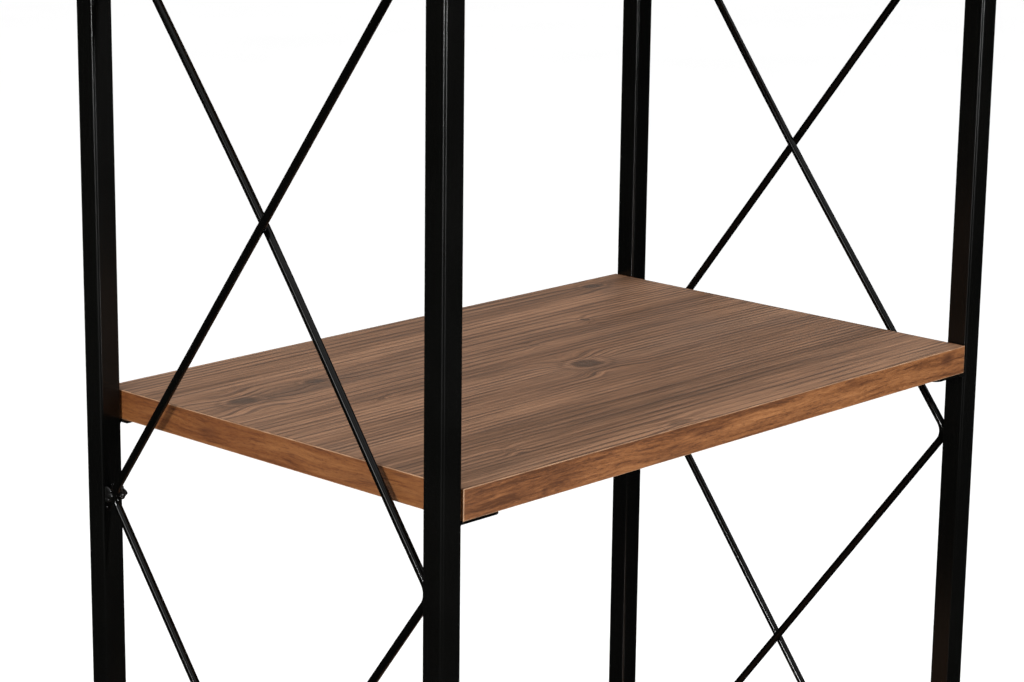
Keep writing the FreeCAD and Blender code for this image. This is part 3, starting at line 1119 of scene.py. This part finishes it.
def make_tab(sizes, high, under, screw_x, screw_y):
    """A plate with two round corners, a hole and softened edges, at the rear right post."""
    low = (high.x - sizes.tab_length, high.y - sizes.tab_width, under)
    tab = add_block("tab", low, high)
    start_editing(tab)
    pick_edges(tab, lambda a, b: is_upright(a, b) and a.x < high.x - sizes.tab_length / 2)
    bpy.ops.mesh.bevel(offset=sizes.tab_corner, segments=8, affect="EDGES")
    stop_editing()
    cut_with(tab, add_start("hole", bpy.ops.mesh.primitive_cylinder_add, vertices=32,
                            radius=sizes.tab_hole, depth=sizes.tab_width,
                            location=(screw_x, screw_y, under)))
    apply_modifier(tab, "BEVEL", width=sizes.tab_edge, segments=2, limit_method="ANGLE",
                   angle_limit=math.radians(40.0))
    return tab


# Width of a screw's tip as a share of its shank
POINT_SCALE = 0.06


def make_screw(sizes, x, y, head_bottom, seat, tip):
    """A pan-head screw with a cross recess, standing point up."""
    screw = add_start("screw", bpy.ops.mesh.primitive_cylinder_add, vertices=40, radius=sizes.head_radius,
                      depth=seat - head_bottom, location=(x, y, (seat + head_bottom) / 2))
    settle(screw)
    start_editing(screw)
    pick_edges(screw, lambda a, b: max(a.z, b.z) < head_bottom + TOLERANCE)
    bpy.ops.mesh.bevel(offset=sizes.head_round, segments=5, affect="EDGES")
    pick_faces(screw, lambda centre, normal: normal.z > 0.9)
    bpy.ops.mesh.inset(thickness=sizes.head_radius - sizes.shank_radius)
    extrude((0, 0, tip - seat - sizes.point_length))
    extrude((0, 0, sizes.point_length))
    scale_ring(Vector((x, y, 0.0)), POINT_SCALE)
    stop_editing()
    half_long = sizes.recess_length / 2
    half_wide = sizes.recess_width / 2
    for reach_x, reach_y in ((half_long, half_wide), (half_wide, half_long)):
        cutter = add_block("recess", (x - reach_x, y - reach_y, head_bottom - sizes.head_round),
                           (x + reach_x, y + reach_y, head_bottom + sizes.recess_depth))
        cut_with(screw, cutter)
    return screw


# Length of the cylinder that cuts a foot's bore, more than twice that of a plug
BORE_CUT = 0.2


class BOOKCASE_OT_ends(bpy.types.Operator):
    """Build the caps on the posts and the plugs in their lower ends"""
    bl_idname = "bookcase.ends"
    bl_label = "Post ends"

    def execute(self, context):
        sizes = context.scene.bookcase_fixings
        frame_sizes = context.scene.bookcase_frame
        plastic = finish_of("plastic", moulded_plastic)
        post_low, post_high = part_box("post_rear_right")
        cap_low, cap_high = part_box("post_caps")
        insert_low, insert_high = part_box("foot_inserts")
        wall = frame_sizes.tube_wall + sizes.plug_gap
        corner = frame_sizes.tube_corner
        cap = make_end(post_low, post_high, cap_high.z, post_high.z, cap_low.z, wall, corner,
                       rounding=sizes.cap_round)
        caps = join("caps", at_four_corners(cap))
        insert = make_end(post_low, post_high, insert_low.z, post_low.z, insert_high.z, wall, corner,
                          rounding=0.0)
        stud_low, stud_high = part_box("foot_rear_right_stud")
        middle = (post_low + post_high) / 2
        bore = (stud_high.x - stud_low.x) / 2 + sizes.bore_gap
        cut_with(insert, add_start("bore", bpy.ops.mesh.primitive_cylinder_add, vertices=40, radius=bore,
                                   depth=BORE_CUT, location=(middle.x, middle.y, post_low.z)))
        inserts = join("foot_plugs", at_four_corners(insert))
        for piece, node in ((caps, "post_caps"), (inserts, "foot_inserts")):
            shade(piece)
            hand_over(piece, MAIN_BODY, "black_plastic", [plastic], node)
        return {"FINISHED"}


def make_end(post_low, post_high, outer, seat, inner, wall, corner, rounding):
    """A flat head on the tube's end, from outer to seat, joined to a plug that reaches inner."""
    head = rounded_block("end", post_low, post_high, (min(outer, seat), max(outer, seat)), corner)
    if rounding:
        start_editing(head)
        pick_faces(head, lambda centre, normal: normal.z > 0.9)
        bpy.ops.transform.translate(value=(0, 0, -rounding))
        steps = 4
        for step in range(steps):
            before, after = (math.pi / 2 * (step + i) / steps for i in (0, 1))
            inward = rounding * (math.cos(before) - math.cos(after))
            bpy.ops.mesh.inset(thickness=inward, depth=rounding * (math.sin(after) - math.sin(before)))
        stop_editing()
    overlap = math.copysign(abs(outer - seat) / 2, outer - seat)
    wall_in = Vector((wall, wall, 0))
    plug = rounded_block("plug", post_low + wall_in, post_high - wall_in,
                         (min(inner, seat + overlap), max(inner, seat + overlap)), corner / 3)
    cut_with(head, plug, "UNION")
    return head


def rounded_block(name, low, high, heights, corner):
    """An upright block with rounded corners between two heights."""
    block = add_block(name, (low.x, low.y, heights[0]), (high.x, high.y, heights[1]))
    start_editing(block)
    pick_edges(block, is_upright)
    bpy.ops.mesh.bevel(offset=corner, segments=6, affect="EDGES")
    stop_editing()
    return block


class BOOKCASE_OT_feet(bpy.types.Operator):
    """Build the four levelling feet"""
    bl_idname = "bookcase.feet"
    bl_label = "Levelling feet"

    def execute(self, context):
        sizes = context.scene.bookcase_fixings
        plastic = finish_of("plastic", moulded_plastic)
        zinc = finish_of("zinc", zinc_plate)
        for end, side in CORNERS:
            body = "foot_%s_%s" % (end, side)
            stud = make_stud(sizes, body)
            pad = make_pad(sizes, body)
            shade(stud)
            shade(pad)
            hand_over(stud, body, "plated_steel", [zinc], body + "_stud")
            hand_over(pad, body, "black_plastic", [plastic], body + "_pad")
        return {"FINISHED"}


# Shares of the pitch over which a thread widens, runs straight and narrows again
THREAD_RISES = (0.45, 0.12, 0.43)
# Width of a stud's upper end as a share of its core
STUD_END_SCALE = 0.8


def make_stud(sizes, body):
    """A threaded stud: rings of thread extruded up to a chamfered end."""
    low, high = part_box(body + "_stud")
    middle = (low + high) / 2
    radius = (high.x - low.x) / 2
    root = radius - sizes.thread_depth
    stud = add_disc("stud_" + body.removeprefix("foot_"), 32, root, middle, low.z)
    turns = int((high.z - low.z) / sizes.thread_pitch)
    pitch = (high.z - low.z) / turns
    for _ in range(turns):
        for rise, scale in zip(THREAD_RISES, (radius / root, 1.0, root / radius)):
            raise_ring(middle, rise * pitch, scale)
    pick_faces(stud, lambda centre, normal: normal.z > 0.9 and centre.z > high.z - 10 * TOLERANCE)
    scale_ring(middle, STUD_END_SCALE)
    face_outwards()
    stop_editing()
    return stud


def add_disc(name, facets, radius, middle, height):
    """A level disc, left selected in edit mode, to extrude upwards."""
    disc = add_start(name, bpy.ops.mesh.primitive_circle_add, vertices=facets, radius=radius,
                     fill_type="NGON", location=(middle.x, middle.y, height))
    settle(disc)
    start_editing(disc)
    select_all()
    return disc


def make_pad(sizes, body):
    """A round pad: rim, ribs of grip and a cone up to the neck."""
    low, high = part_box(body + "_pad")
    middle = (low + high) / 2
    radius = (high.x - low.x) / 2
    stud_low, stud_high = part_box(body + "_stud")
    socket = (stud_high.x - stud_low.x) / 2
    height = high.z - low.z
    groove_depth = 0.0004
    step_depth = 0.0005
    lead_in = 0.0006
    # Height and radius of each ring, from the rim's chamfer up to the neck and down into the socket
    rings = [
        (sizes.pad_chamfer, radius),
        (height * 0.30, radius),
        (height * 0.34, radius - groove_depth),
        (height * 0.38, radius),
        (height * 0.50, radius),
        (height * 0.58, radius - step_depth),
        (height, sizes.pad_neck),
        (height, socket + lead_in),
        (height - step_depth, socket),
        (stud_low.z - low.z, socket),
    ]
    last_height = 0.0
    last_radius = radius - sizes.pad_chamfer
    pad = add_disc("pad_" + body.removeprefix("foot_"), 48, last_radius, middle, low.z)
    for ring_height, ring_radius in rings:
        raise_ring(middle, ring_height - last_height, ring_radius / last_radius)
        last_height = ring_height
        last_radius = ring_radius
    face_outwards()
    stop_editing()
    return pad


class BOOKCASE_OT_stage(bpy.types.Operator):
    """Set up the floor, the lights and the camera"""
    bl_idname = "bookcase.stage"
    bl_label = "Stage"

    def execute(self, context):
        settings = context.scene.bookcase_stage
        self.add_floor(settings)
        self.add_backdrop(settings)
        self.add_camera(context, settings)
        self.add_lights(context, settings)
        context.scene.view_settings.view_transform = "Standard"
        return {"FINISHED"}

    def add_floor(self, settings):
        just_below = CAD_BOX[0].z - 0.0002
        floor = add_start("floor", bpy.ops.mesh.primitive_plane_add, size=settings.floor_size,
                          location=(0, 0, just_below))
        paint = Paint("pale_floor")
        mottle = paint.noise(paint.place(), (1.5, 1.5, 1.5))
        colour = paint.ramp(mottle, [(0.3, (0.93, 0.93, 0.93)), (0.7, (0.95, 0.95, 0.95))])
        floor.data.materials.append(
            paint.finish(Base_Color=colour, Roughness=0.8, Specular_IOR_Level=0.1))
        floor.visible_glossy = False

    def add_backdrop(self, settings):
        """A pale ring at the floor's edge that only the camera sees, in front of the dark horizon."""
        height = settings.backdrop_height
        backdrop = add_start("backdrop", bpy.ops.mesh.primitive_cylinder_add, vertices=96,
                             radius=settings.floor_size * 0.49, depth=height, end_fill_type="NOTHING",
                             location=(0, 0, height / 2))
        paint = Paint("pale_backdrop")
        mottle = paint.noise(paint.place(), (0.1, 0.1, 0.1), detail=1.0)
        glow = paint.ramp(mottle, [(0.3, (0.97, 0.97, 0.97)), (0.7, (1.0, 1.0, 1.0))])
        backdrop.data.materials.append(
            paint.finish(Base_Color=(0.0, 0.0, 0.0, 1.0), Roughness=1.0, Specular_IOR_Level=0.0,
                         Emission_Color=glow, Emission_Strength=1.0))
        backdrop.visible_glossy = False
        backdrop.visible_diffuse = False
        backdrop.visible_shadow = False

    def add_camera(self, context, settings):
        target = Vector((0, 0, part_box(MIDDLE_SHELF + "_board")[1].z))
        azimuth, elevation, roll = settings.azimuth, settings.elevation, settings.roll
        back = Vector((math.sin(azimuth) * math.cos(elevation),
                       -math.cos(azimuth) * math.cos(elevation), math.sin(elevation)))
        data = bpy.data.cameras.new("camera")
        data.lens = settings.lens
        data.sensor_width = 36.0
        data.clip_end = 200.0
        camera = bpy.data.objects.new("camera", data)
        context.collection.objects.link(camera)
        level = (-back).to_track_quat("-Z", "Y").to_matrix().to_4x4()
        camera.matrix_world = (Matrix.Translation(target + Vector(settings.place)) @ level
                               @ Matrix.Rotation(roll, 4, "Z"))
        context.scene.camera = camera

    def add_lights(self, context, settings):
        sky = Paint("studio", bpy.data.worlds)
        height = sky.axes(sky.coordinates.outputs["Generated"])[2]
        fade = sky.node("ShaderNodeMapRange", {"interpolation_type": "SMOOTHSTEP"}, {
            "Value": height, "From Min": settings.sky_start, "From Max": settings.sky_full,
            "To Min": settings.horizon, "To Max": settings.sky})
        background = sky.node("ShaderNodeBackground", inputs={
            "Color": (1.0, 1.0, 1.0, 1.0), "Strength": fade.outputs[0]})
        sky.node("ShaderNodeOutputWorld", inputs={"Surface": background.outputs[0]})
        context.scene.world = sky.owner
        strip = (settings.strip_bottom, settings.strip_height, settings.strip_width, settings.strip_power)
        panel = (settings.panel_bottom, settings.panel_height, settings.panel_width, settings.panel_power)
        for name, azimuth, lamp in (("left_strip", settings.left_azimuth, strip),
                                    ("right_strip", settings.right_azimuth, strip),
                                    ("side_panel", settings.panel_azimuth, panel)):
            self.add_lamp(context, name, azimuth, settings.strip_distance, *lamp)

    def add_lamp(self, context, name, azimuth, distance, bottom, height, width, power):
        """An upright lamp facing the bookcase's middle line."""
        middle = bottom + height / 2
        at = Vector((math.sin(azimuth) * distance, -math.cos(azimuth) * distance, middle))
        data = bpy.data.lights.new(name, "AREA")
        data.shape = "RECTANGLE"
        data.size = width
        data.size_y = height
        data.energy = power
        lamp = bpy.data.objects.new(name, data)
        context.collection.objects.link(lamp)
        aim = (Vector((0, 0, middle)) - at).to_track_quat("-Z", "Y")
        lamp.matrix_world = Matrix.Translation(at) @ aim.to_matrix().to_4x4()


class BOOKCASE_PT_panel(bpy.types.Panel):
    bl_idname = "BOOKCASE_PT_panel"
    bl_label = "Open bookcase"
    bl_space_type = "VIEW_3D"
    bl_region_type = "UI"
    bl_category = "Bookcase"

    def draw(self, context):
        for group_name in GROUPS:
            group = getattr(context.scene, group_name)
            for name in group.bl_rna.properties.keys():
                if name not in ("rna_type", "name"):
                    self.layout.prop(group, name)
        for operator in OPERATORS:
            self.layout.operator(operator.bl_idname)


OPERATORS = (BOOKCASE_OT_posts, BOOKCASE_OT_wires, BOOKCASE_OT_welds, BOOKCASE_OT_boards,
             BOOKCASE_OT_tabs, BOOKCASE_OT_ends, BOOKCASE_OT_feet, BOOKCASE_OT_stage)
GROUPS = {"bookcase_frame": FrameSettings, "bookcase_welds": WeldSettings,
          "bookcase_fixings": FixingSettings, "bookcase_stage": StageSettings}
CLASSES = tuple(GROUPS.values()) + OPERATORS + (BOOKCASE_PT_panel,)


def register():
    for cls in CLASSES:
        bpy.utils.register_class(cls)
    for name, group in GROUPS.items():
        setattr(bpy.types.Scene, name, PointerProperty(type=group))


def unregister():
    for name in GROUPS:
        delattr(bpy.types.Scene, name)
    for cls in reversed(CLASSES):
        bpy.utils.unregister_class(cls)


def main():
    register()
    bpy.ops.bookcase.posts()
    bpy.ops.bookcase.wires()
    bpy.ops.bookcase.welds()
    bpy.ops.bookcase.boards()
    bpy.ops.bookcase.tabs()
    bpy.ops.bookcase.ends()
    bpy.ops.bookcase.feet()
    bpy.ops.bookcase.stage()


if __name__ == "__main__":
    main()
